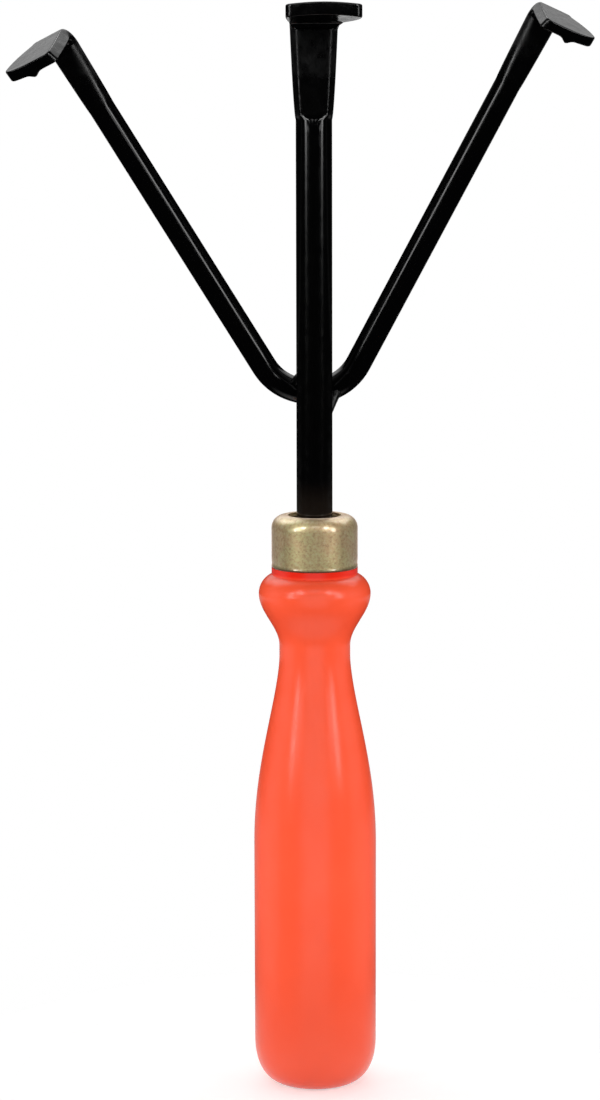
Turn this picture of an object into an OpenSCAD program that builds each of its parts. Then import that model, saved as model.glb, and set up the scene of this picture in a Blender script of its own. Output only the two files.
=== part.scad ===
// Three-tined hand cultivator: moulded handle, plated ferrule, forged centre tine, V-bent rod of side tines.
// Upright on its butt, whose centre is the origin: +Z runs up to the tines and the blades point to -Y.

/* [Handle] */
// Length of the handle from its butt to the ferrule's seat
handle_len = 133.5; // [115:0.5:160]
// Diameter of the straight grip
grip_d = 31; // [27:0.1:36]
// Width of the butt's rounded edge, in from the grip
butt_round = 8.5; // [5:0.1:11]
// Height of the butt's rounded edge
butt_rise = 12; // [6:0.1:16]
// Distance from the ferrule's seat down to the top of the straight grip
grip_drop = 71; // [60:0.5:82]
// Diameter of the neck
neck_d = 17.9; // [15.5:0.1:20]
// Distance from the ferrule's seat down to the neck
neck_drop = 20; // [17:0.1:24]
// Straight length of the neck
neck_len = 2.8; // [0.5:0.1:6]
// Diameter of the bulge under the ferrule
bulge_d = 28.2; // [24:0.1:32]
// Distance from the ferrule's seat down to the middle of the bulge
bulge_drop = 6.7; // [5.4:0.1:9]
// Radius of the shoulder between the bulge and the collar that the ferrule stands on
shoulder_round = 5.3; // [4.6:0.1:5.4]
// Depth from the spigot's end up to the underside of the ferrule's top
spigot_recess = 4; // [0.5:0.1:6]

/* [Ferrule] */
// Outside diameter of the ferrule
ferrule_d = 21.7; // [20:0.1:24]
// Height of the ferrule
ferrule_h = 13.2; // [11:0.1:18]
// Wall of the ferrule
ferrule_wall = 0.9; // [0.6:0.1:1.2]
// Radius of the ferrule's shoulder
ferrule_round = 3.2; // [2:0.1:3.6]
// Gap between the shank and the hole in the ferrule's top
ferrule_hole_gap = 1.7; // [0.6:0.1:2]
// Gap between the ferrule and the spigot
ferrule_fit = 0.05; // [0.02:0.01:0.15]

/* [Centre tine] */
// Diameter of the shank
shank_d = 9; // [8:0.1:10]
// Length of the tang below the ferrule's seat
tang_len = 62; // [45:0.5:75]
// Chamfer on the tang's end
tang_chamfer = 1.5; // [0.5:0.1:3]
// Gap between the tang and its socket
socket_fit = 0.05; // [0.02:0.01:0.15]
// Space left under the tang's end
socket_space = 2; // [0.5:0.1:4]
// Height from the ferrule's seat to the start of the bend
shank_len = 133.6; // [120:0.1:145]
// Length of shank that is forged flat below the bend
shank_forge_len = 22; // [16:0.5:30]
// Depth of the two flats where they start
shank_flat = 1.2; // [0.3:0.1:1.6]
// Angle that the centre blade is bent through
centre_bend = 82; // [75:1:95]
// Straight length of the centre blade
centre_blade_len = 12.6; // [9:0.1:17]
// Width of the centre blade's end
centre_blade_w = 18.6; // [15:0.1:23]
// Width of the shank where it starts to bend
centre_neck_w = 11.8; // [10.5:0.1:13]
// Thickness of the centre blade
centre_blade_t = 3.4; // [2.4:0.1:4]
// Sideways drift of the centre blade's end
centre_drift = 2.4; // [-3:0.1:3]
// Inside radius of the centre blade's bend
centre_bend_r = 1.7; // [0.8:0.1:2.5]
// Drop of the centre blade's corners below its middle
centre_crown = 0.6; // [0:0.1:1.2]

/* [Side tines] */
// Diameter of the rod that makes both side tines
rod_d = 6.4; // [5.5:0.1:7.5]
// Radius of the rod's middle bend, at the rod's axis
yoke_bend_r = 13.5; // [11:0.1:20]
// Angle of each side tine from the middle line
yoke_half_angle = 28.8; // [24:0.1:34]
// Turn of the whole V in its own plane, towards the left
yoke_turn = 1.9; // [-3:0.1:3]
// Forward lean of the V
yoke_lean = 12; // [8:0.1:18]
// Height of the middle bend above the ferrule's seat
yoke_height = 43.5; // [38:0.1:52]
// Gap between the shank and the rod behind it
yoke_gap = 0.05; // [0.02:0.01:0.15]
// Straight length of the left tine
left_arm_len = 94.1; // [80:0.1:110]
// Straight length of the right tine
right_arm_len = 97; // [80:0.1:110]

/* [Side blades] */
// Length of rod that is forged flat below each bend
rod_forge_len = 17; // [12:0.5:24]
// Angle that the side blades are bent through
side_bend = 95.3; // [85:0.1:105]
// Inside radius of the side blades' bends
side_bend_r = 1.9; // [0.8:0.1:2.5]
// Turn of the left blade outwards from straight ahead
left_turn = 19; // [0:1:35]
// Turn of the right blade outwards from straight ahead
right_turn = 12; // [0:1:35]
// Straight length of the left blade
left_blade_len = 12.6; // [9:0.1:16]
// Straight length of the right blade
right_blade_len = 10.8; // [9:0.1:16]
// Outward drift of the left blade's end
left_drift = 2.2; // [-1:0.1:3]
// Outward drift of the right blade's end
right_drift = 2.5; // [-1:0.1:3]
// Thickness of the left blade
left_blade_t = 3.1; // [2:0.1:3.4]
// Thickness of the right blade
right_blade_t = 2.7; // [2:0.1:3.4]
// Width of a side blade's end
side_blade_w = 14; // [12:0.1:16]
// Width of the rod where it starts to bend
side_neck_w = 7.7; // [7:0.1:9]
// Radius of a side blade's outer corner
outer_corner = 2.6; // [1:0.1:4]
// Lift of a side blade's outer corner
outer_lift = 0.5; // [0:0.1:1]

/* [Forging] */
// Share of the blade's length over which it flares to its full width
flare_share = 0.8; // [0.5:0.05:1]
// Share of the thickness that is lost towards the blade's end
end_thinning = 0.05; // [0:0.05:0.2]
// Radius of a blade's other end corners
corner_round = 1.6; // [0.8:0.1:2.5]
// Rounding of the blade's end edges
end_round = 0.4; // [0.2:0.05:0.6]

/* [Welds] */
// Diameter of the right weld's bead at the rod
right_bead_d = 4.6; // [3.6:0.1:5.6]
// Length of the right weld, which runs down from the rod
right_weld_len = 3.8; // [2.5:0.1:6]
// Start of the right weld below the rod's middle
right_weld_drop = 0.6; // [0:0.1:2]
// Distance of the right weld's start from the middle of the tool
right_weld_reach = 5; // [4.4:0.1:6]
// Diameter of the left weld's bead at the rod
left_bead_d = 3.6; // [3:0.1:4.6]
// Length of the left weld, which runs up from the rod
left_weld_len = 1.4; // [0.8:0.1:4]
// Start of the left weld above the rod's middle
left_weld_rise = 2.6; // [1:0.1:3]
// Distance of the left weld's start from the middle of the tool
left_weld_reach = 4.3; // [3.8:0.1:5]
// Diameter of both beads where they run out on the shank
bead_end_d = 2.6; // [2:0.1:3.4]

/* [Hidden] */
$fn = 96;

// Shares that shape the handle, the forged ends and the welds
taper_lead = 0.775;     // how soon the grip's taper swells below the neck: 1 is even, less is sooner
neck_flatness = 0.72;   // thickness at the start of the bend, as a share of the rod
flat_oval = 1.25;       // thickness of the oval that the flats cut there, as a share of the flats
neck_square = 2.2;      // squareness of that oval, where 2 is an ellipse
side_flat_from = 0.5;   // where on the forged stretch the side rods begin to flatten
blade_square = 8;       // squareness of the blade's section
root_share = 0.28;      // how far the blade has flared by the end of the bend
forge_ease = 0.65;      // how soon the flat swells: below 1, most of it comes at once
let_in = 0.3;           // depth that a forged end is let into its rod
let_in_share = 0.985;   // its width there, as a share of the rod
bead_stand = 0.2;       // how far a bead's end stands off the shank, as a share of its diameter
bead_end_angle = 38;    // where it ends on the shank, round from the flank to the back

ring_points = 32;       // points round a forged section
forge_steps = 8;        // sections along the flattened stretch
flat_start = 0.05;      // length of the step at the start of the flats, as a share of that stretch
bend_steps = 7;         // sections round a bend
blade_steps = 6;        // sections along a blade
corner_steps = 4;       // sections round its end corners
blend_steps = 14;       // points along each stretch of the handle's outline
arc_steps = 8;          // points round a small radius
bead_ripples = 5;       // ripples in a weld bead

seat_z = handle_len;
shank_r = shank_d / 2;
rod_r = rod_d / 2;
socket_r = shank_r + socket_fit;
spigot_r = ferrule_d / 2 - ferrule_wall - ferrule_fit;
spigot_top = seat_z + ferrule_h - ferrule_wall - spigot_recess;
ferrule_hole_r = shank_r + ferrule_hole_gap;
tang_z = seat_z - tang_len;
forge_z = seat_z + shank_len - shank_forge_len;

// The V is laid out from the point where its two straight tines would meet
yoke_tangent = yoke_bend_r / tan(yoke_half_angle);
yoke_centre = yoke_bend_r / sin(yoke_half_angle);
yoke_drop = yoke_centre - yoke_bend_r;
yoke_back = shank_r + rod_r + yoke_gap + yoke_drop * sin(yoke_lean);
yoke_z = seat_z + yoke_height - yoke_drop * cos(yoke_lean);
bead_end = (shank_r + bead_end_d * bead_stand) * [cos(bead_end_angle), sin(bead_end_angle)];

function mix(a, b, k) = a + (b - a) * k;
function arc(centre, r, from, to, steps = arc_steps) =
    [for (i = [0:steps]) let (a = mix(from, to, i / steps)) centre + r * [cos(a), sin(a)]];

function ease(k) = (1 - cos(180 * max(0, min(1, k)))) / 2;

// Smooth swell of the handle's radius between two heights, from just past the first.
// A lead below 1 swells sooner.
function swell(z0, r0, z1, r1, lead = 1) =
    [for (i = [1:blend_steps]) let (k = i / blend_steps) [mix(r0, r1, ease(pow(k, lead))), mix(z0, z1, k)]];

// The loss of half width near a rounded corner, at a distance from the blade's end
function corner_loss(r, from_end) = from_end > r ? 0 : r - sqrt(r * r - pow(r - from_end, 2));

// A section between an ellipse and a rounded bar, half_w across and half_t through, cut by flats
function section_point(half_w, half_t, square, flat, i) =
    let (a = 360 * i / ring_points, c = cos(a), s = sin(a))
    [half_w * sign(c) * pow(abs(c), 2 / square), sign(s) * min(flat, half_t * pow(abs(s), 2 / square))];

// A station of a forged end: [y, z, bend angle, half width, half thickness, squareness,
// half distance of the flats, drift, outer lift, inner lift]
function station_ring(st) =
    [for (i = [0:ring_points - 1])
        let (p = section_point(st[3], st[4], st[5], st[6], i),
             t = p[1] + (p[0] > 0 ? st[8] : st[9]) * pow(p[0] / st[3], 2))
        [p[0] + st[7], st[0] + t * cos(st[2]), st[1] + t * sin(st[2])]];

function forged_stations(r, forge_len, flat_in, flat_from, bend, bend_inner_r, neck_w, end_w,
                         blade_len, blade_t, drift, outer_r, lifts) =
    let (neck_t = 2 * r * neck_flatness,
         root_w = mix(neck_w, end_w, root_share),
         bend_r = bend_inner_r + blade_t / 2,
         bend_y = -bend_r * (1 - cos(bend)),
         bend_z = forge_len + bend_r * sin(bend),
         last_r = max(outer_r, corner_round),
         body = blade_len - last_r)
    concat(
        [for (z = [-let_in, 0]) [0, z, 0, r * let_in_share, r * let_in_share, 2, r, 0, 0, 0]],
        [for (k = concat([flat_start], [for (i = [1:forge_steps]) i / forge_steps]))
            let (f = pow(k, forge_ease))
            [0, forge_len * k, 0,
             mix(r, neck_w / 2, f), mix(r, flat_oval * neck_t / 2, f), mix(2, neck_square, f),
             mix(r - flat_in, neck_t / 2, ease((k - flat_from) / (1 - flat_from))), 0, 0, 0]],
        [for (i = [1:bend_steps])
            let (k = i / bend_steps, a = bend * k)
            [-bend_r * (1 - cos(a)), forge_len + bend_r * sin(a), a,
             mix(neck_w, root_w, k) / 2, mix(flat_oval * neck_t, blade_t, k) / 2,
             mix(neck_square, blade_square, k), mix(neck_t, blade_t, k) / 2, drift * root_share * k, 0, 0]],
        [for (i = [1:blade_steps + corner_steps])
            let (at = body * min(1, i / blade_steps)
                      + last_r * sin(90 * max(0, i - blade_steps) / corner_steps),
                 k = at / blade_len,
                 f = mix(root_share, 1, 1 - pow(1 - min(1, k / flare_share), 2)),
                 outer_loss = corner_loss(outer_r, blade_len - at),
                 inner_loss = corner_loss(corner_round, blade_len - at),
                 end_loss = i == blade_steps + corner_steps ? end_round : 0,
                 half_t = blade_t * (1 - end_thinning * k) / 2 - end_loss)
            [bend_y - at * sin(bend), bend_z + at * cos(bend), bend,
             (mix(neck_w, end_w, f) - outer_loss - inner_loss) / 2, half_t, blade_square, half_t,
             drift * f + (inner_loss - outer_loss) / 2, lifts[0] * k, lifts[1] * k]]);

// A rod's end, forged flat, bent towards -Y and flared: it stands on the rod's end at the origin
module forged_end(stations) {
    rings = [for (st = stations) station_ring(st)];
    n = ring_points;
    sides = [for (k = [0:len(rings) - 2], i = [0:n - 1])
        [k * n + i, (k + 1) * n + i, (k + 1) * n + (i + 1) % n, k * n + (i + 1) % n]];
    foot = [for (i = [0:n - 1]) i];
    tip = [for (i = [n - 1:-1:0]) (len(rings) - 1) * n + i];
    polyhedron(points = [for (ring = rings, p = ring) p], faces = concat(sides, [foot, tip]));
}

module handle() {
    grip_z = seat_z - grip_drop;
    neck_z = seat_z - neck_drop;
    bulge_z = seat_z - bulge_drop;
    taper = swell(neck_z - neck_len, neck_d / 2, grip_z, grip_d / 2, taper_lead);
    shoulder_in = bulge_d / 2 - shoulder_round;
    shoulder = arc([shoulder_in, bulge_z], shoulder_round, 0,
                   acos((ferrule_d / 2 - shoulder_in) / shoulder_round));
    outline = concat(
        [[0, 0]],
        [for (p = arc([0, 0], 1, -90, 0)) [grip_d / 2 - butt_round * (1 - p[0]), butt_rise * (1 + p[1])]],
        [for (i = [blend_steps - 1:-1:0]) taper[i]],
        [[neck_d / 2, neck_z - neck_len], [neck_d / 2, neck_z]],
        swell(neck_z, neck_d / 2, bulge_z, bulge_d / 2),
        [for (i = [1:arc_steps]) shoulder[i]],
        [[ferrule_d / 2, seat_z], [spigot_r, seat_z], [spigot_r, spigot_top], [socket_r, spigot_top],
         [socket_r, tang_z - socket_space], [0, tang_z - socket_space]]);
    color([0.98, 0.37, 0.25])
    rotate_extrude()
    polygon(outline);
}

// A drawn cup, open below, with a round hole in its top
module ferrule() {
    outer_r = ferrule_d / 2;
    top = seat_z + ferrule_h;
    outer = arc([outer_r - ferrule_round, top - ferrule_round], ferrule_round, 0, 90);
    inner_round = ferrule_round - ferrule_wall;
    inner = arc([outer_r - ferrule_round, top - ferrule_round], inner_round, 90, 0);
    lip = arc([ferrule_hole_r + ferrule_wall / 2, top - ferrule_wall / 2], ferrule_wall / 2, 90, 270);
    color([0.72, 0.66, 0.5])
    rotate_extrude()
    polygon(concat([[outer_r, seat_z]], outer, lip, inner, [[outer_r - ferrule_wall, seat_z]]));
}

// Shank, tang and forged blade in one piece
module centre_tine() {
    color([0.06, 0.06, 0.07]) {
        translate([0, 0, tang_z])
        rotate_extrude()
        polygon([[0, 0], [shank_r - tang_chamfer, 0], [shank_r, tang_chamfer],
                 [shank_r, forge_z - tang_z], [0, forge_z - tang_z]]);
        translate([0, 0, forge_z])
        forged_end(forged_stations(shank_r, shank_forge_len, shank_flat, 0, centre_bend, centre_bend_r,
                                   centre_neck_w, centre_blade_w, centre_blade_len, centre_blade_t,
                                   centre_drift, corner_round, -centre_crown * [1, 1]));
    }
}

// Places its children in the frame of the V, at the point where the two tines would meet
module in_yoke() {
    translate([0, yoke_back, yoke_z])
    rotate([yoke_lean, 0, 0])
    rotate([0, -yoke_turn, 0])
    children();
}

// The rod's round middle bend, drawn a little thin and let into both tines
module yoke_bend() {
    let_in_angle = let_in / yoke_bend_r * 180 / PI;
    in_yoke()
    translate([0, 0, yoke_centre])
    rotate([90, 0, 0])
    rotate([0, 0, 180 + yoke_half_angle - let_in_angle])
    rotate_extrude(angle = 180 - 2 * yoke_half_angle + 2 * let_in_angle)
    translate([yoke_bend_r, 0])
    circle(r = rod_r * let_in_share);
}

// One side tine, drawn on the right: straight rod and forged blade
module side_arm(arm_len, turn, blade_len, blade_t, drift) {
    straight = arm_len - rod_forge_len;
    rotate([0, yoke_half_angle, 0])
    translate([0, 0, yoke_tangent]) {
        cylinder(r = rod_r, h = straight);
        translate([0, 0, straight])
        rotate([0, 0, turn])
        forged_end(forged_stations(rod_r, rod_forge_len, 0, side_flat_from, side_bend, side_bend_r,
                                   side_neck_w, side_blade_w, blade_len, blade_t,
                                   drift, outer_corner, [outer_lift, 0]));
    }
}

module side_tines() {
    color([0.06, 0.06, 0.07]) {
        yoke_bend();
        in_yoke() {
            side_arm(right_arm_len, right_turn, right_blade_len, right_blade_t, right_drift);
            mirror([1, 0, 0])
            side_arm(left_arm_len, left_turn, left_blade_len, left_blade_t, left_drift);
        }
    }
}

// A weld's ripples, from the bent rod to the shank's flank; side is 1 on the right and -1 on the left
module weld(side, bead_d, reach, start, run) {
    bead_y = shank_r + rod_r - bead_d / 2;
    color([0.06, 0.06, 0.07])
    difference() {
        for (i = [0:bead_ripples - 1])
            let (k = i / (bead_ripples - 1))
            translate([side * mix(reach, bead_end[0], k), mix(bead_y, bead_end[1], k),
                       seat_z + yoke_height + start + run * k])
            sphere(d = mix(bead_d, bead_end_d, k));
        translate([0, 0, tang_z])
        cylinder(r = shank_r, h = forge_z - tang_z);
        yoke_bend();
    }
}

module left_weld() weld(-1, left_bead_d, left_weld_reach, left_weld_rise, left_weld_len);
module right_weld() weld(1, right_bead_d, right_weld_reach, -right_weld_drop, -right_weld_len);

handle();
ferrule();
centre_tine();
side_tines();
left_weld();
right_weld();
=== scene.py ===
# Hand cultivator: a moulded handle, a plated ferrule and three forged tines in black enamel.
# It stands on its butt with the blades towards -Y. The tool's sizes are in millimetres until a point is
# placed, and the floor and the lamps are in metres.
import math

import bmesh
import bpy
import numpy as np
from mathutils import Matrix, Vector


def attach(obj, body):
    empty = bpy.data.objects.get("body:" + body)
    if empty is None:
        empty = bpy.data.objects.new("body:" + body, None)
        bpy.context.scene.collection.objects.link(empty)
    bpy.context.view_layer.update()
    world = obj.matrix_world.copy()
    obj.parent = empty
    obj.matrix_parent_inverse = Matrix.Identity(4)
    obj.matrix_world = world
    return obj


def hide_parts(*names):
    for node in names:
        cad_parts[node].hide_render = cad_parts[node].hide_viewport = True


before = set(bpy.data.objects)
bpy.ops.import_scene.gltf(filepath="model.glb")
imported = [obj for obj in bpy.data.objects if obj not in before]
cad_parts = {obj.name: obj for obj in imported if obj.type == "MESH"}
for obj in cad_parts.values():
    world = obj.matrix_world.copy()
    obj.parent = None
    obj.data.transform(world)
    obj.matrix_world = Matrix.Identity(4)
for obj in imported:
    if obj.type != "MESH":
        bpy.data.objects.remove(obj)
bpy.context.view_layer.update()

MM = 0.001
TOOL_LEN = 280         # span of the finishes' ramps up the tool, a little more than its length
FIT = 0.05             # clearance where one piece sits in another

# Handle, from the butt at Z 0 to the ferrule's foot
HANDLE_LEN = 133.5
GRIP_R = 15.5
GRIP_TOP = HANDLE_LEN - 71
BUTT_ROUND = 8.5       # width of the butt's rounded edge
BUTT_RISE = 12         # and its height
BUTT_SQUARE = 2.4      # its squareness, where 2 is an ellipse
NECK_R = 8.95
NECK_TOP = HANDLE_LEN - 20
NECK_FOOT = NECK_TOP - 2.8
TAPER_LEAD = 0.775     # how soon the grip swells below the neck: 1 is even, less is sooner
BULGE_R = 14.1
BULGE_Z = HANDLE_LEN - 6.7
SHOULDER_ROUND = 5.3

# Ferrule, and the handle's spigot inside it
FERRULE_R = 10.85
FERRULE_H = 13.2
FERRULE_WALL = 0.9
FERRULE_ROUND = 3.2
FERRULE_HOLE_R = 6.2
FERRULE_TOP = HANDLE_LEN + FERRULE_H
LIP_R = 0.42           # the rolled foot
LIP_TURN = 20          # degrees past level at which its roll ends
GROOVE = ((0.10, 1.05), (0.06, 1.5), (0.02, 2))    # depth and height of the hollow over the rolled foot
SPIGOT_R = FERRULE_R - FERRULE_WALL - FIT
SPIGOT_ROOM = 4        # space between the spigot and the ferrule's top
SPIGOT_TOP = FERRULE_TOP - FERRULE_WALL - SPIGOT_ROOM

# Centre tine: tang, shank and forged head in one bar
SHANK_R = 4.5
SHANK_LEN = 133.6      # from the handle's top to the bend
SHANK_FORGE = 22       # its forged stretch
SHANK_FORGE_Z = HANDLE_LEN + SHANK_LEN - SHANK_FORGE
TANG_Z = HANDLE_LEN - 62
TANG_BLUNT = 1.5
SOCKET_R = SHANK_R + FIT
SOCKET_END = TANG_Z - 2

# Side tines: one rod bent to a V behind the shank
ROD_R = 3.2
ROD_FORGE = 17
YOKE_R = 13.5
YOKE_HALF = math.radians(28.8)
YOKE_TURN = math.radians(1.9)
YOKE_LEAN = math.radians(12)
YOKE_HEIGHT = 43.5
YOKE_TANGENT = YOKE_R / math.tan(YOKE_HALF)
YOKE_CENTRE = YOKE_R / math.sin(YOKE_HALF)
YOKE_DROP = YOKE_CENTRE - YOKE_R
YOKE_BACK = SHANK_R + ROD_R + FIT + YOKE_DROP * math.sin(YOKE_LEAN)
YOKE_Z = HANDLE_LEN + YOKE_HEIGHT - YOKE_DROP * math.cos(YOKE_LEAN)
LEFT_ARM, LEFT_TURN = 94.1, math.radians(19)       # length from the V to the blade's bend, and its turn
RIGHT_ARM, RIGHT_TURN = 97, math.radians(12)

# Welds: the middles of each bead's ends, from the shank's axis at the V's height, and the radii there
LEFT_WELD = {"head": (-4.3, 5.9, 2.6), "head_r": 1.7, "foot": (-4.0, 3.1, 4.0), "foot_r": 1.1}
RIGHT_WELD = {"head": (5.3, 5.6, -0.2), "head_r": 1.6, "foot": (3.95, 2.9, -4.6), "foot_r": 0.7}
WELD_TAPER = 0.6       # how soon a bead slims: 1 is even, less is sooner
RIPPLES = 4
RIPPLE_DEPTH = 0.015   # share of the radius

# Forging
NECK_FLATNESS = 0.72   # depth between the flats at the neck, as a share of the rod's diameter
FORGE_EASE = 0.65      # how soon the rod widens: 1 is even, less is sooner
FLAT_START = 0.06      # share of the forged stretch over which the flats step down
LIGHT_SCALE = 0.12     # how much scale there is where a forged stretch starts
HEAVY_SCALE = 0.5      # and where it nears the bend; a blade has 1
SCALE_START = 0.1      # share of the stretch over which the scale sets in
SCALE_TURN, SCALE_RUN = 0.35, 0.3     # shares at which it starts to get heavy, and over which it does
BEND_RUN = 1 / 3       # share of the bend over which it rises to the blade's
ROOT_SHARE = 0.28      # share of the flare that is there at the end of the bend
FLARE_SHARE = 0.8      # share of the blade that flares
END_THINNING = 0.05    # share of its thickness that a blade loses towards its end
FLAT_CRISP = 22        # how sharply an oval meets its flats

# Edges of the blades
CORNER_ROUND = 1.6
OUTER_CORNER = 2.6     # the side blades' outer corners are rounder
END_ROUND = 0.4
EDGE_ROUND = 0.45
NECK_EDGE = 1.2        # rounding of the edges where the bend starts
DRIP_RUN = 1.3         # how far back from the end a drop of paint hangs

# Points and steps of the meshes
RING = 96              # round a rod or blade
TURNED = 128           # round a turned piece
WELD_RING = 48         # round a weld's bead
OVAL_POINTS = 1440     # of a forged oval before its ring is chosen from them
EDGE_POINTS = 40       # and of each rounded edge of a blade's section
BUTT_RINGS = (0.3, 0.65)              # rings on the butt's flat, as shares of its radius
BUTT_STEPS, GRIP_STEPS, TAPER_STEPS, NECK_STEPS, BULGE_STEPS, SHOULDER_STEPS = 24, 12, 44, 4, 24, 16
LIP_STEPS, WALL_STEPS, ROUND_STEPS, HOLE_STEPS, INNER_STEPS = 8, 8, 16, 10, 12
FORGE_STEPS, BEND_STEPS, BLADE_STEPS, CORNER_STEPS = 36, 18, 20, 12
SHANK_STEPS, ARM_STEPS, YOKE_STEPS, WELD_STEPS = 60, 48, 24, 60


def mix(a, b, k):
    return a + (b - a) * k


def ease(k):
    return (1 - math.cos(math.pi * min(1, max(0, k)))) / 2


# Modelling by hand


def rest_hands():
    """Back to object mode with nothing selected."""
    if bpy.context.object and bpy.context.object.mode != "OBJECT":
        bpy.ops.object.mode_set(mode="OBJECT")
    bpy.ops.object.select_all(action="DESELECT")


def take(piece):
    """Selects one piece alone and makes it the active one."""
    rest_hands()
    piece.select_set(True)
    bpy.context.view_layer.objects.active = piece


def lay_ring(piece, points, scale):
    """Moves the selected ring's points to their places and notes the forging scale under the paint."""
    shape = bmesh.from_edit_mesh(piece.data)
    mark, rough = shape.verts.layers.int["mark"], shape.verts.layers.float["scale"]
    for v in shape.verts:
        if v.select:
            v.co = Vector(points[v[mark]]) * MM
            v[rough] = scale
    bmesh.update_edit_mesh(piece.data)


def close_on_pole():
    """Closes the selected ring on its middle."""
    bpy.ops.mesh.extrude_edges_move()
    bpy.ops.mesh.merge(type="CENTER")


def draw_out(name, rings, start_pole=False, end_pole=False, scales=None):
    """Extrudes a circle ring after ring. A pole closes an end on its middle, any other end gets a face."""
    scales = scales or [0] * len(rings)
    rest_hands()
    bpy.ops.mesh.primitive_circle_add(vertices=len(rings[0]), radius=MM, fill_type="NOTHING")
    piece = bpy.context.object
    piece.name = piece.data.name = name
    bpy.ops.object.mode_set(mode="EDIT")
    bpy.ops.mesh.select_mode(type="VERT")
    bpy.ops.mesh.select_all(action="SELECT")
    shape = bmesh.from_edit_mesh(piece.data)
    mark = shape.verts.layers.int.new("mark")
    shape.verts.layers.float.new("scale")
    for i, v in enumerate(shape.verts):
        v[mark] = i
    lay_ring(piece, rings[0], scales[0])
    if start_pole:
        close_on_pole()
        bpy.ops.mesh.select_all(action="DESELECT")
        bpy.ops.mesh.select_non_manifold()
    for ring, scale in zip(rings[1:], scales[1:]):
        bpy.ops.mesh.extrude_edges_move()
        lay_ring(piece, ring, scale)
    if end_pole:
        close_on_pole()
    bpy.ops.mesh.select_all(action="SELECT")
    bpy.ops.mesh.fill_holes(sides=0)
    bpy.ops.mesh.select_all(action="SELECT")
    bpy.ops.mesh.normals_make_consistent(inside=False)
    bpy.ops.object.mode_set(mode="OBJECT")
    piece.data.attributes.remove(piece.data.attributes["mark"])
    return piece


def draw_out_tube(name, rings):
    """Extrudes a ring round a closed outline and joins its end to its start."""
    piece = draw_out(name, rings + [rings[0]])
    take(piece)
    bpy.ops.object.mode_set(mode="EDIT")
    bpy.ops.mesh.select_all(action="DESELECT")
    shape = bmesh.from_edit_mesh(piece.data)
    for f in shape.faces:
        is_end = len(f.verts) > 4
        f.select = is_end
    bmesh.update_edit_mesh(piece.data)
    bpy.ops.mesh.delete(type="ONLY_FACE")
    bpy.ops.mesh.select_all(action="SELECT")
    bpy.ops.mesh.remove_doubles(threshold=1e-7)
    bpy.ops.mesh.normals_make_consistent(inside=False)
    bpy.ops.object.mode_set(mode="OBJECT")
    return piece


def round_ring(radius, z, sides=TURNED, turn=0):
    """A level circle about Z, its first point turned about Z by turn."""
    angles = [2 * math.pi * i / sides + turn for i in range(sides)]
    return [(radius * math.cos(a), radius * math.sin(a), z) for a in angles]


def placed(matrix, ring):
    return [tuple(matrix @ Vector(p)) for p in ring]


def arc(centre_r, centre_z, radius, start, end, steps):
    """Outline points [r, z] round an arc, in degrees."""
    turns = [math.radians(mix(start, end, i / steps)) for i in range(steps + 1)]
    return [(centre_r + radius * abs(math.cos(a)), centre_z + radius * math.sin(a)) for a in turns]


def swell(z0, r0, z1, r1, steps, lead=1):
    """Outline points of a smooth swell, without its first point. A lead below 1 swells sooner."""
    ks = [(i + 1) / steps for i in range(steps)]
    return [(mix(r0, r1, ease(k ** lead)), mix(z0, z1, k)) for k in ks]


def finish_piece(piece, node, material, degrees=35):
    """Smooths the edges flatter than so many degrees, paints the piece and puts it in its solid's place."""
    take(piece)
    bpy.ops.object.shade_smooth_by_angle(angle=math.radians(degrees))
    piece.data.materials.clear()
    piece.data.materials.append(material)
    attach(piece, "root")
    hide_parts(node)


# Handle and ferrule


def make_handle():
    """The outline goes from the butt's middle up the outside, over the spigot and down the tang's socket."""
    flat_r = GRIP_R - BUTT_ROUND
    shoulder_in = BULGE_R - SHOULDER_ROUND
    shoulder_turn = math.degrees(math.acos((FERRULE_R - shoulder_in) / SHOULDER_ROUND))
    outline = [(flat_r * k, 0) for k in BUTT_RINGS]
    outline += [(flat_r + BUTT_ROUND * r ** (2 / BUTT_SQUARE), BUTT_RISE * (1 - abs(z) ** (2 / BUTT_SQUARE)))
                for r, z in arc(0, 0, 1, -90, 0, BUTT_STEPS)]
    outline += [(GRIP_R, mix(BUTT_RISE, GRIP_TOP, i / GRIP_STEPS)) for i in range(1, GRIP_STEPS)]
    outline += swell(NECK_FOOT, NECK_R, GRIP_TOP, GRIP_R, TAPER_STEPS, TAPER_LEAD)[::-1]
    outline += [(NECK_R, mix(NECK_FOOT, NECK_TOP, i / NECK_STEPS)) for i in range(NECK_STEPS + 1)]
    outline += swell(NECK_TOP, NECK_R, BULGE_Z, BULGE_R, BULGE_STEPS)
    outline += arc(shoulder_in, BULGE_Z, SHOULDER_ROUND, 0, shoulder_turn, SHOULDER_STEPS)[1:]
    outline += [(FERRULE_R, HANDLE_LEN), (SPIGOT_R, HANDLE_LEN), (SPIGOT_R, SPIGOT_TOP),
                (SOCKET_R, SPIGOT_TOP), (SOCKET_R, SOCKET_END)]
    return draw_out("handle_moulding", [round_ring(r, z) for r, z in outline], start_pole=True, end_pole=True)


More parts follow.
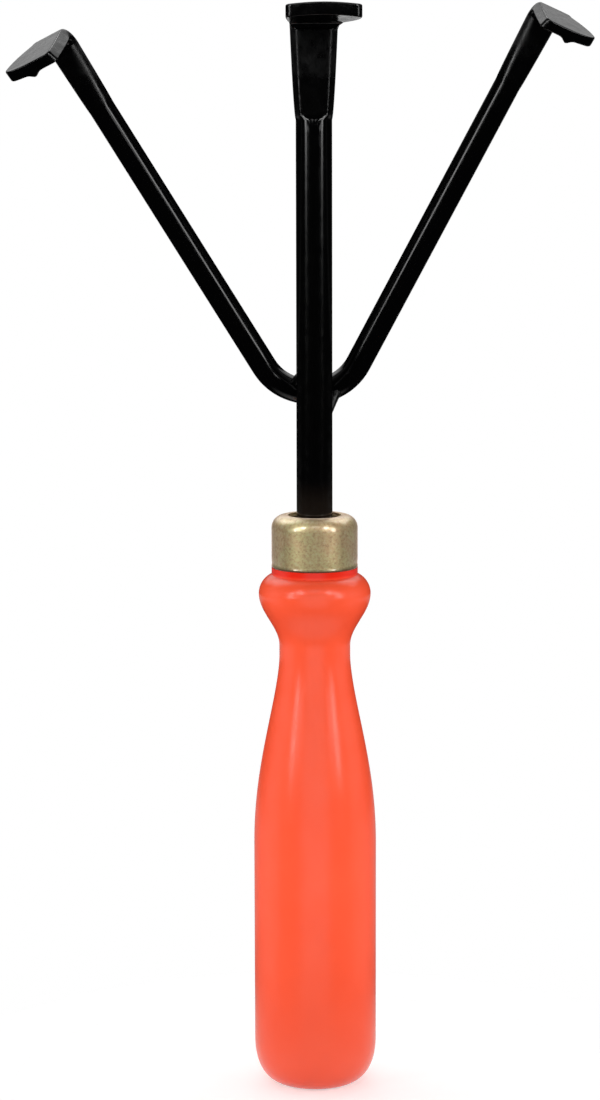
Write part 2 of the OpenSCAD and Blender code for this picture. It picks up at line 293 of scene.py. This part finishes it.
def make_ferrule():
    """The outline goes from the inner foot round the rolled lip, up the wall, into the hole and back."""
    half_wall = FERRULE_WALL / 2
    shoulder_r, shoulder_z = FERRULE_R - FERRULE_ROUND, FERRULE_TOP - FERRULE_ROUND
    hole_r, hole_z = FERRULE_HOLE_R + half_wall, FERRULE_TOP - half_wall
    wall_in, wall_foot = GROOVE[-1]
    outline = [(FERRULE_R - FERRULE_WALL, HANDLE_LEN + half_wall)]
    outline += arc(FERRULE_R - LIP_R, HANDLE_LEN + LIP_R, LIP_R, -90, LIP_TURN, LIP_STEPS)
    outline += [(FERRULE_R - depth, HANDLE_LEN + z) for depth, z in GROOVE[:-1]]
    outline += [(FERRULE_R - wall_in, mix(HANDLE_LEN + wall_foot, shoulder_z, i / WALL_STEPS))
                for i in range(WALL_STEPS)]
    outline += arc(shoulder_r, shoulder_z, FERRULE_ROUND, 0, 90, ROUND_STEPS)
    outline += [(mix(shoulder_r, hole_r, k), FERRULE_TOP) for k in (0.5, 1)]
    outline += arc(hole_r, hole_z, half_wall, 100, 270, HOLE_STEPS)
    outline += arc(shoulder_r, shoulder_z, FERRULE_ROUND - FERRULE_WALL, 90, 0, INNER_STEPS)
    return draw_out_tube("ferrule_cup", [round_ring(r, z) for r, z in outline])


# Forged tines


def spread(points):
    """RING points along a closed outline, closer together where it turns."""
    step = np.diff(points, axis=0)
    length = np.hypot(step[:, 0], step[:, 1])
    way = np.unwrap(np.arctan2(step[:, 1], step[:, 0]))
    turn = np.abs(np.diff(way, append=way[0] + 2 * np.pi))
    pace = np.concatenate([[0], np.cumsum(length / length.sum() + turn / turn.sum())]) / 2
    at = np.arange(RING) / RING
    return np.stack([np.interp(at, pace, points[:, 0]), np.interp(at, pace, points[:, 1])], 1)


def flattened(half_w, half_t, flat):
    """Section of a rod between two hammers: an oval with a flat on its front and back."""
    a = np.linspace(0, 2 * np.pi, OVAL_POINTS + 1)
    c, s = np.cos(a), np.sin(a)
    oval, flats = np.hypot(c / half_w, s / half_t), np.abs(s / flat)
    reach = (oval ** FLAT_CRISP + flats ** FLAT_CRISP) ** (-1 / FLAT_CRISP)
    return spread(np.stack([reach * c, reach * s], 1))


def bar(half_w, half_t, edge):
    """Section of a blade: a bar with rounded edges."""
    corners = []
    for i, (sx, sy) in enumerate([(1, 1), (-1, 1), (-1, -1), (1, -1)]):
        a = np.radians(90 * i + np.linspace(0, 90, EDGE_POINTS))
        x, y = sx * (half_w - edge) + edge * np.cos(a), sy * (half_t - edge) + edge * np.sin(a)
        corners.append(np.stack([x, y], 1))
    middle = np.array([[half_w, 0.0]])
    return spread(np.concatenate([middle] + corners + [middle]))


class Blade:
    """Sizes of one forged end.

    The oval is the forged rod's depth in units of the depth between its flats, which start with a step or
    further along. The lifts raise the outer and inner edges of the blade towards its end, and the slant
    leans its inner side outwards over its thickness. A drip is a drop of paint under the end: its place
    across the blade, its width and its depth.
    """

    def __init__(self, r, forge_len, bend, inner_r, neck_w, end_w, length, thick, drift,
                 outer_corner=CORNER_ROUND, lifts=(0, 0), oval=1.25, flat_step=0, flat_from=0, slant=0,
                 drip=None):
        self.r, self.forge_len, self.bend, self.inner_r = r, forge_len, math.radians(bend), inner_r
        self.neck_w, self.end_w, self.length, self.thick = neck_w, end_w, length, thick
        self.drift, self.outer_corner, self.lifts = drift, outer_corner, lifts
        self.oval, self.flat_step, self.flat_from = oval, flat_step, flat_from
        self.slant, self.drip = slant, drip


def corner_loss(radius, from_end):
    """Half width lost at a rounded corner, at a distance from the blade's end."""
    return 0 if from_end > radius else radius - math.sqrt(radius ** 2 - (radius - from_end) ** 2)


def forged_end(b):
    """Rings of a rod's end, forged flat, bent towards -Y and flared. The rod's end is at the origin."""
    neck_t = 2 * b.r * NECK_FLATNESS
    root_w = mix(b.neck_w, b.end_w, ROOT_SHARE)
    bend_r = b.inner_r + b.thick / 2
    rings, scales = [], []

    def lay(y, z, turn, outline, scale, shift=0, along=0):
        """Lays a section at a place on the rod's middle line, turned towards -Y and shifted aside."""
        x, t = outline[:, 0], outline[:, 1]
        x = x + b.slant * turn / b.bend * t / b.thick * np.clip(x / x.min(), 0, 1)
        edge = (x / x.max()) ** 2 * along
        t = t + edge * np.where(x > 0, b.lifts[0], b.lifts[1])
        if b.drip:
            at, wide, deep = b.drip
            near = math.exp(-(b.length * (1 - along) / DRIP_RUN) ** 2)
            hang = deep * near * np.exp(-((x - at) / wide) ** 2)
            t = np.where(t < 0, t - hang * np.clip(-t / (b.thick / 2), 0, 1), t)
        rings.append(np.stack([x + shift, y + t * math.cos(turn), z + t * math.sin(turn)], 1))
        scales.append(scale)

    for i in range(1, FORGE_STEPS + 1):
        k = i / FORGE_STEPS
        wider = k ** FORGE_EASE
        flatter = ease((k - b.flat_from) / (1 - b.flat_from))
        flat = mix(b.r - b.flat_step * ease(k / FLAT_START), neck_t / 2, flatter)
        oval = flattened(mix(b.r, b.neck_w / 2, wider), mix(b.r, b.oval * neck_t / 2, wider), flat)
        scale = mix(LIGHT_SCALE, HEAVY_SCALE, ease((k - SCALE_TURN) / SCALE_RUN))
        lay(0, b.forge_len * k, 0, oval, ease(k / SCALE_START) * scale)

    for i in range(1, BEND_STEPS + 1):
        k = i / BEND_STEPS
        a = b.bend * k
        y, z = -bend_r * (1 - math.cos(a)), b.forge_len + bend_r * math.sin(a)
        half_w, half_t = mix(b.neck_w, root_w, k) / 2, mix(neck_t, b.thick, k) / 2
        oval = flattened(half_w, b.oval * half_t, half_t)
        blade = bar(half_w, half_t, mix(NECK_EDGE, EDGE_ROUND, k))
        lay(y, z, a, mix(oval, blade, ease(k)), mix(HEAVY_SCALE, 1, ease(k / BEND_RUN)),
            b.drift * ROOT_SHARE * k)

    last_r = max(b.outer_corner, CORNER_ROUND)
    body = b.length - last_r
    stops = [body * i / BLADE_STEPS for i in range(1, BLADE_STEPS + 1)]
    stops += [body + last_r * math.sin(math.pi / 2 * i / CORNER_STEPS) for i in range(1, CORNER_STEPS + 1)]
    for at in stops:
        k = at / b.length
        flare = mix(ROOT_SHARE, 1, 1 - (1 - min(1, k / FLARE_SHARE)) ** 2)
        outer, inner = (corner_loss(r, b.length - at) for r in (b.outer_corner, CORNER_ROUND))
        half_w = (mix(b.neck_w, b.end_w, flare) - outer - inner) / 2
        half_t = b.thick * (1 - END_THINNING * k) / 2 - corner_loss(END_ROUND, b.length - at)
        lay(y - at * math.sin(b.bend), z + at * math.cos(b.bend), b.bend, bar(half_w, half_t, EDGE_ROUND), 1,
            b.drift * flare + (inner - outer) / 2, k)
    return rings, scales


def make_centre_tine():
    shank_foot = TANG_Z + TANG_BLUNT
    rings = [round_ring(SHANK_R - TANG_BLUNT, TANG_Z, RING)]
    rings += [round_ring(SHANK_R, mix(shank_foot, SHANK_FORGE_Z, i / SHANK_STEPS), RING)
              for i in range(SHANK_STEPS + 1)]
    head = Blade(SHANK_R, SHANK_FORGE, bend=82, inner_r=1.7, neck_w=11.8, end_w=18.6, length=12.6, thick=3.4,
                 drift=2.4, lifts=(-0.6, -0.6), oval=1.42, flat_step=1.2)
    end, scales = forged_end(head)
    scales = [0] * len(rings) + scales
    up = Matrix.Translation((0, 0, SHANK_FORGE_Z))
    rings += [placed(up, ring) for ring in end]
    return draw_out("centre_tine_forging", rings, scales=scales)


def make_side_tines():
    """The left arm from its blade down, the bend behind the shank, and the right arm up to its blade."""
    yoke = (Matrix.Translation((0, YOKE_BACK, YOKE_Z)) @ Matrix.Rotation(YOKE_LEAN, 4, "X")
            @ Matrix.Rotation(-YOKE_TURN, 4, "Y"))
    reach = Matrix.Rotation(YOKE_HALF, 4, "Y") @ Matrix.Translation((0, 0, YOKE_TANGENT))

    def arm(side, arm_len, turn, blade):
        matrix = yoke @ Matrix.Diagonal((side, 1, 1, 1)) @ reach
        straight = arm_len - ROD_FORGE
        rings = [placed(matrix, round_ring(ROD_R, straight * i / ARM_STEPS, RING, turn * i / ARM_STEPS))
                 for i in range(ARM_STEPS + 1)]
        up = matrix @ Matrix.Translation((0, 0, straight)) @ Matrix.Rotation(turn, 4, "Z")
        end, scales = forged_end(blade)
        return rings + [placed(up, ring) for ring in end], [0] * len(rings) + scales

    def side_blade(length, thick, drift, drip):
        return Blade(ROD_R, ROD_FORGE, bend=95.3, inner_r=1.9, neck_w=7.7, end_w=14, length=length,
                     thick=thick, drift=drift, outer_corner=OUTER_CORNER, lifts=(0.5, 0), flat_from=0.5,
                     slant=0.75, drip=drip)

    left_blade = side_blade(length=12.6, thick=3.1, drift=2.2, drip=(0.2, 1.2, 1.1))
    right_blade = side_blade(length=10.8, thick=2.7, drift=2.5, drip=(0.6, 1.1, 1.2))
    left, left_scales = arm(-1, LEFT_ARM, LEFT_TURN, left_blade)
    right, right_scales = arm(1, RIGHT_ARM, RIGHT_TURN, right_blade)
    bend = []
    for i in range(1, YOKE_STEPS):
        a = mix(-1, 1, i / YOKE_STEPS) * (math.pi / 2 - YOKE_HALF)
        out = Vector((math.sin(a), 0, -math.cos(a)))
        middle = Vector((0, 0, YOKE_CENTRE)) + out * YOKE_R
        ring = [middle + out * x + Vector((0, y, 0)) for x, y, _ in round_ring(ROD_R, 0, RING)]
        bend.append(placed(yoke, ring))
    return draw_out("side_tines_forging", left[::-1] + bend + right,
                    scales=left_scales[::-1] + [0] * len(bend) + right_scales)


def make_weld(name, head, head_r, foot, foot_r):
    """A rippled bead with round ends that tapers from the bent rod to the shank's flank."""
    up = Vector((0, 0, HANDLE_LEN + YOKE_HEIGHT))
    head, foot = Vector(head) + up, Vector(foot) + up
    length = (foot - head).length
    along = Matrix.Translation(head) @ (foot - head).to_track_quat("Z", "Y").to_matrix().to_4x4()
    rings = []
    for i in range(1, WELD_STEPS):
        at = mix(-head_r, length + foot_r, ease(i / WELD_STEPS))
        k = min(1, max(0, at / length))
        past = max(-at, at - length, 0)
        r = math.sqrt(mix(head_r, foot_r, k ** WELD_TAPER) ** 2 - past ** 2)
        r *= 1 - RIPPLE_DEPTH * (1 + math.cos(2 * math.pi * RIPPLES * k))
        rings.append(placed(along, round_ring(r, at, WELD_RING)))
    return draw_out(name, rings, start_pole=True, end_pole=True, scales=[HEAVY_SCALE] * len(rings))


# Nodes of the finishes


def new_finish(name):
    finish = bpy.data.materials.new(name)
    finish.use_nodes = True
    return finish, finish.node_tree, finish.node_tree.nodes["Principled BSDF"]


def put(node, **sockets):
    """Sets a node's own sockets, each named with _ for a space."""
    for key, value in sockets.items():
        node.inputs[key.replace("_", " ")].default_value = value


def add(tree, kind, **sockets):
    node = tree.nodes.new(kind)
    put(node, **sockets)
    return node


def grey(v):
    return (v, v, v, 1)


def ramp(tree, source, stops):
    node = tree.nodes.new("ShaderNodeValToRGB")
    node.color_ramp.elements[0].position, node.color_ramp.elements[0].color = stops[0]
    node.color_ramp.elements[1].position, node.color_ramp.elements[1].color = stops[-1]
    for at, colour in stops[1:-1]:
        node.color_ramp.elements.new(at).color = colour
    tree.links.new(source, node.inputs["Fac"])
    return node.outputs["Color"]


def grain(tree, scale, detail, rough=0.5):
    """Noise over the piece, in grains per metre."""
    place = tree.nodes.new("ShaderNodeTexCoord")
    node = add(tree, "ShaderNodeTexNoise", Scale=scale, Detail=detail, Roughness=rough)
    tree.links.new(place.outputs["Object"], node.inputs["Vector"])
    return node.outputs["Fac"]


def share(tree, source, low, high):
    """How far a value is from low to high, from 0 to 1."""
    node = add(tree, "ShaderNodeMapRange", From_Min=low, From_Max=high)
    tree.links.new(source, node.inputs["Value"])
    return node.outputs["Result"]


def height(tree, stops):
    """A ramp up the tool, its stops in millimetres from the butt."""
    place = tree.nodes.new("ShaderNodeTexCoord")
    parts = tree.nodes.new("ShaderNodeSeparateXYZ")
    tree.links.new(place.outputs["Object"], parts.inputs[0])
    up = share(tree, parts.outputs["Z"], 0, TOOL_LEN * MM)
    return ramp(tree, up, [(z / TOOL_LEN, colour) for z, colour in stops])


def blend(tree, factor, low, high, kind="MIX"):
    """Mixes two colours, each a colour or a socket."""
    node = tree.nodes.new("ShaderNodeMix")
    node.data_type, node.blend_type = "RGBA", kind
    sockets = {key: next(i for i in node.inputs if i.name == key and i.type == kind_of)
               for key, kind_of in (("Factor", "VALUE"), ("A", "RGBA"), ("B", "RGBA"))}
    for key, value in (("Factor", factor), ("A", low), ("B", high)):
        if isinstance(value, bpy.types.NodeSocket):
            tree.links.new(value, sockets[key])
        else:
            sockets[key].default_value = value
    return next(o for o in node.outputs if o.type == "RGBA")


def bump(tree, shader, lumps, depth, strength=1.0):
    """Raises the surface by lumps, the depth in millimetres."""
    node = add(tree, "ShaderNodeBump", Strength=strength, Distance=depth * MM)
    tree.links.new(lumps, node.inputs["Height"])
    tree.links.new(node.outputs["Normal"], shader.inputs["Normal"])


# Finishes


def orange_plastic():
    """Satin orange, with painted shade as a deeper red band where it meets the ferrule, and near-black inside
    the ferrule.
    """
    finish, tree, shader = new_finish("orange_plastic")
    orange, pale_orange = (0.95, 0.092, 0.036, 1), (0.97, 0.102, 0.042, 1)
    painted_shade_red, near_black = (0.76, 0.02, 0.007, 1), (0.012, 0.008, 0.006, 1)
    body = ramp(tree, grain(tree, 60, detail=3), [(0.3, orange), (0.7, pale_orange)])
    # Painted shade: the collar just under the ferrule's lip turns a deeper red, standing in for the shade
    # there.
    collar_shade_mask = height(tree, [(HANDLE_LEN - 2.2, grey(0)), (HANDLE_LEN - 1.2, grey(1))])
    # Near-black on the spigot from 1 mm inside the ferrule upwards.
    inside = height(tree, [(HANDLE_LEN + 0.1, grey(0)), (HANDLE_LEN + 1, grey(1))])
    body = blend(tree, collar_shade_mask, body, painted_shade_red)
    tree.links.new(blend(tree, inside, body, near_black), shader.inputs["Base Color"])
    satin = ramp(tree, grain(tree, 220, detail=5), [(0.35, grey(0.20)), (0.65, grey(0.26))])
    tree.links.new(satin, shader.inputs["Roughness"])
    bump(tree, shader, grain(tree, 90, detail=2), depth=0.05, strength=0.4)
    return finish


def plated_steel():
    """Yellow zinc plate, grainy and with a little of the iridescence that it has, with painted shade as a
    near-black line along its foot.
    """
    finish, tree, shader = new_finish("plated_steel")
    brown, gold, green_gold, pale_gold = ((0.70, 0.51, 0.29, 1), (0.90, 0.71, 0.40, 1),
                                          (0.93, 0.82, 0.45, 1), (1.00, 0.89, 0.66, 1))
    pink, green, near_black = (1.00, 0.90, 0.88, 1), (0.98, 1.00, 0.92, 1), (0.02, 0.012, 0.008, 1)
    plate = ramp(tree, grain(tree, 1400, detail=3, rough=0.7),
                 [(0.32, brown), (0.46, gold), (0.56, green_gold), (0.70, pale_gold)])
    patches = ramp(tree, grain(tree, 160, detail=2), [(0.40, pink), (0.60, green)])
    plate = blend(tree, 1.0, plate, patches, "MULTIPLY")
    # Painted shade: a near-black line round the rolled foot, where the ferrule meets the handle.
    foot = height(tree, [(HANDLE_LEN + 0.25, grey(1)), (HANDLE_LEN + 0.5, grey(0))])
    tree.links.new(blend(tree, foot, plate, near_black), shader.inputs["Base Color"])
    drawn = ramp(tree, grain(tree, 1200, detail=3), [(0.3, grey(0.40)), (0.7, grey(0.54))])
    tree.links.new(drawn, shader.inputs["Roughness"])
    round_axis = tree.nodes.new("ShaderNodeTangent")
    round_axis.direction_type, round_axis.axis = "RADIAL", "Z"
    tree.links.new(round_axis.outputs[0], shader.inputs["Tangent"])
    put(shader, Metallic=0.8, Anisotropic=0.5, Anisotropic_Rotation=0.25)
    put(shader, Sheen_Weight=1, Sheen_Roughness=0.3, Sheen_Tint=(1, 0.78, 0.62, 1))
    put(shader, Coat_Weight=1, Coat_IOR=2, Coat_Roughness=0.16)
    return finish


def black_enamel():
    """Dipped gloss black: smooth on the rods, duller over forging scale, brownish by the ferrule."""
    finish, tree, shader = new_finish("black_enamel")
    black, brown = (0.0006, 0.0006, 0.0007, 1), (0.010, 0.0070, 0.0052, 1)
    scale = tree.nodes.new("ShaderNodeAttribute")
    scale.attribute_name = "scale"
    thin = height(tree, [(FERRULE_TOP, grey(1)), (FERRULE_TOP + 9, grey(0))])
    tree.links.new(blend(tree, thin, black, brown), shader.inputs["Base Color"])
    coat = ramp(tree, scale.outputs["Fac"], [(0, grey(0.14)), (LIGHT_SCALE, grey(0.2)),
                                             (HEAVY_SCALE, grey(0.36)), (1, grey(0.2))])
    mottle = ramp(tree, grain(tree, 500, detail=5), [(0.35, grey(0.75)), (0.65, grey(1.25))])
    tree.links.new(blend(tree, 1.0, coat, mottle, "MULTIPLY"), shader.inputs["Roughness"])
    depth = ramp(tree, scale.outputs["Fac"], [(0, grey(0)), (LIGHT_SCALE, grey(0.5)),
                                              (HEAVY_SCALE, grey(0.6)), (1, grey(1))])
    lumps = blend(tree, 1.0, depth, grain(tree, 420, detail=3), "MULTIPLY")
    bump(tree, shader, lumps, depth=0.15)
    return finish


plastic, plating, enamel = orange_plastic(), plated_steel(), black_enamel()
finish_piece(make_handle(), "handle", plastic)
finish_piece(make_ferrule(), "ferrule", plating, degrees=50)
finish_piece(make_centre_tine(), "centre_tine", enamel, degrees=40)
finish_piece(make_side_tines(), "side_tines", enamel, degrees=40)
finish_piece(make_weld("left_weld_bead", **LEFT_WELD), "left_weld", enamel, degrees=60)
finish_piece(make_weld("right_weld_bead", **RIGHT_WELD), "right_weld", enamel, degrees=60)


# Stage, light and camera

FLOOR_R = 0.11
FLOOR_FADE = (0.012, 0.105)           # the floor fades into the backdrop from one radius to the other
FLOOR_GREY = 0.8
FLOOR_GLOW = 0.45      # the floor's own light, which the lamps bring up to about white
ROOM = 0.004           # brightness of the dark room that gloss shows
BACKDROP = 0.85        # and of the pale backdrop behind the tool
# The backdrop's patches: degrees aside and up to the middle, and the degrees from there over which it fades
SCREEN_ABOVE = (-9, 49.6, 34, 42)
SCREEN_BELOW = (0, -16.4, 4, 7)
TABLE = 0.35           # brightness of the table round the backdrop's foot
TABLE_FAR, TABLE_NEAR = -8.6, -16     # degrees above level between which it is seen
TABLE_SOFT = 0.12      # share of that band over which each of its edges fades
TABLE_SIDES = (-0.1, 0.3)             # Y of the directions over which it fades towards the front
LAMP_DISTANCE = 1.2
FILL_DISTANCE = 1.6
CAMERA_AT = (-3.68, -840.7, 263.4)    # in millimetres
CAMERA_DIP = 8.5       # degrees that it looks down
CAMERA_TILT = 0.134    # degrees that it leans to a side
FOCAL_PIXELS = 3380
IMAGE_PIXELS = 1100    # the picture's longer side
SENSOR = 36


def emission(tree, strength):
    return add(tree, "ShaderNodeEmission", Color=grey(1), Strength=strength)


def seen_rays(tree, others):
    """1 for the rays that show a thing: the camera's, and the other kinds named."""
    path = tree.nodes.new("ShaderNodeLightPath")
    total = path.outputs["Is Camera Ray"]
    for kind in others:
        most = tree.nodes.new("ShaderNodeMath")
        most.operation = "MAXIMUM"
        tree.links.new(total, most.inputs[0])
        tree.links.new(path.outputs[kind], most.inputs[1])
        total = most.outputs[0]
    return total


def either(tree, factor, low, high):
    """Mixes two shaders."""
    node = tree.nodes.new("ShaderNodeMixShader")
    tree.links.new(factor, node.inputs["Fac"])
    tree.links.new(low.outputs[0], node.inputs[1])
    tree.links.new(high.outputs[0], node.inputs[2])
    return node


def make_floor():
    """A small pale disc that takes the tool's shadow and fades into the backdrop before its rim."""
    rest_hands()
    bpy.ops.mesh.primitive_circle_add(vertices=TURNED, radius=FLOOR_R, fill_type="NGON", location=(0, 0, 0))
    floor = bpy.context.object
    floor.name = "floor"
    finish = bpy.data.materials.new("pale_floor")
    finish.use_nodes = True
    tree = finish.node_tree
    tree.nodes.clear()
    out = tree.nodes.new("ShaderNodeOutputMaterial")
    matt = add(tree, "ShaderNodeBsdfDiffuse", Color=grey(FLOOR_GREY))
    both = tree.nodes.new("ShaderNodeAddShader")
    tree.links.new(matt.outputs[0], both.inputs[0])
    tree.links.new(emission(tree, FLOOR_GLOW).outputs[0], both.inputs[1])
    place = tree.nodes.new("ShaderNodeTexCoord")
    out_from = tree.nodes.new("ShaderNodeVectorMath")
    out_from.operation = "LENGTH"
    tree.links.new(place.outputs["Object"], out_from.inputs[0])
    fade = ramp(tree, out_from.outputs["Value"], [(FLOOR_FADE[0], grey(0)), (FLOOR_FADE[1], grey(1))])
    pale = either(tree, fade, both, tree.nodes.new("ShaderNodeBsdfTransparent"))
    seen = seen_rays(tree, ["Is Glossy Ray", "Is Transmission Ray"])
    tree.links.new(either(tree, seen, matt, pale).outputs[0], out.inputs["Surface"])
    floor.data.materials.append(finish)


def backdrop_patch(tree, way, patch):
    """A round pale patch on the backdrop, seen from the tool."""
    aside, rise, inner, outer = (math.radians(a) for a in patch)
    towards = tree.nodes.new("ShaderNodeVectorMath")
    towards.operation = "DOT_PRODUCT"
    towards.inputs[1].default_value = (math.sin(aside) * math.cos(rise), math.cos(aside) * math.cos(rise),
                                       math.sin(rise))
    tree.links.new(way.outputs["Generated"], towards.inputs[0])
    start, full = math.cos(outer), math.cos(inner)
    return ramp(tree, towards.outputs["Value"], [(start, grey(ROOM)), (full, grey(BACKDROP))])


def make_world():
    """White to the camera and through glass.

    Gloss shows a dark room in front of the tool, and the pale backdrop and a table behind it.
    """
    world = bpy.data.worlds.new("studio")
    bpy.context.scene.world = world
    world.use_nodes = True
    tree = world.node_tree
    tree.nodes.clear()
    out = tree.nodes.new("ShaderNodeOutputWorld")
    white = add(tree, "ShaderNodeBackground", Color=grey(1.0), Strength=1.0)
    room = tree.nodes.new("ShaderNodeBackground")
    way = tree.nodes.new("ShaderNodeTexCoord")
    above, below = (backdrop_patch(tree, way, patch) for patch in (SCREEN_ABOVE, SCREEN_BELOW))
    screens = blend(tree, 1.0, above, below, "LIGHTEN")
    parts = tree.nodes.new("ShaderNodeSeparateXYZ")
    tree.links.new(way.outputs["Generated"], parts.inputs[0])
    near, far = (math.sin(math.radians(a)) for a in (TABLE_NEAR, TABLE_FAR))
    depth = share(tree, parts.outputs["Z"], near, far)
    table = ramp(tree, depth, [(0, grey(ROOM)), (TABLE_SOFT, grey(TABLE)), (1 - TABLE_SOFT, grey(TABLE)),
                               (1, grey(ROOM))])
    table = blend(tree, share(tree, parts.outputs["Y"], *TABLE_SIDES), grey(ROOM), table)
    tree.links.new(blend(tree, 1.0, screens, table, "LIGHTEN"), room.inputs["Color"])
    seen = seen_rays(tree, ["Is Transmission Ray"])
    tree.links.new(either(tree, seen, room, white).outputs[0], out.inputs["Surface"])


def add_lamp(name, azimuth, low, high, width, radiance, distance=LAMP_DISTANCE, gloss=True, matt=True):
    """An upright soft box. Azimuth 0 is the camera's side, and positive is to its right."""
    rest_hands()
    a = math.radians(azimuth)
    back = Vector((math.sin(a), -math.cos(a), 0))
    bpy.ops.object.light_add(type="AREA", location=back * distance + Vector((0, 0, (low + high) / 2)))
    lamp = bpy.context.object
    lamp.name = name
    lamp.rotation_euler = back.to_track_quat("Z", "Y").to_euler()
    lamp.data.shape = "RECTANGLE"
    lamp.data.size, lamp.data.size_y = width, high - low
    lamp.data.energy = radiance * math.pi * width * (high - low)
    lamp.visible_glossy, lamp.visible_diffuse = gloss, matt


def make_lamps():
    """Boxes light the tool, cards and strips show in gloss alone, and fills never do."""
    for side, name in ((-1, "left"), (1, "right")):
        add_lamp(name + "_box", side * 52, low=0.20, high=0.95, width=0.22, radiance=5.0)
        add_lamp(name + "_card", side * 35, low=0.80, high=1.35, width=0.30, radiance=8.0, matt=False)
        add_lamp(name + "_strip", side * 38, low=0.26, high=0.44, width=0.15, radiance=2.6, matt=False)
        add_lamp(name + "_rim", side * 128, low=0.90, high=2.10, width=0.90, radiance=1.1)
        add_lamp(name + "_fill", side * 95, low=-0.7, high=1.0, width=1.2, radiance=2.9,
                 distance=FILL_DISTANCE, gloss=False)
    add_lamp("hair_box", 180, low=1.55, high=2.35, width=0.5, radiance=3.5)
    add_lamp("top_box", 0, low=1.1, high=2.0, width=0.5, radiance=1.5)
    add_lamp("front_fill", 0, low=-0.9, high=1.0, width=1.6, radiance=2.65,
             distance=FILL_DISTANCE, gloss=False)


def make_camera():
    rest_hands()
    dip, tilt = math.radians(CAMERA_DIP), math.radians(CAMERA_TILT)
    turn = Matrix.Rotation(math.pi / 2 - dip, 3, "X") @ Matrix.Rotation(-tilt, 3, "Z")
    bpy.ops.object.camera_add(location=Vector(CAMERA_AT) * MM, rotation=turn.to_euler())
    camera = bpy.context.object
    camera.data.sensor_width = SENSOR
    camera.data.lens = SENSOR * FOCAL_PIXELS / IMAGE_PIXELS
    camera.data.clip_start, camera.data.clip_end = 0.01, 50
    bpy.context.scene.camera = camera


make_floor()
make_world()
make_lamps()
make_camera()
bpy.context.scene.view_settings.view_transform = "Standard"
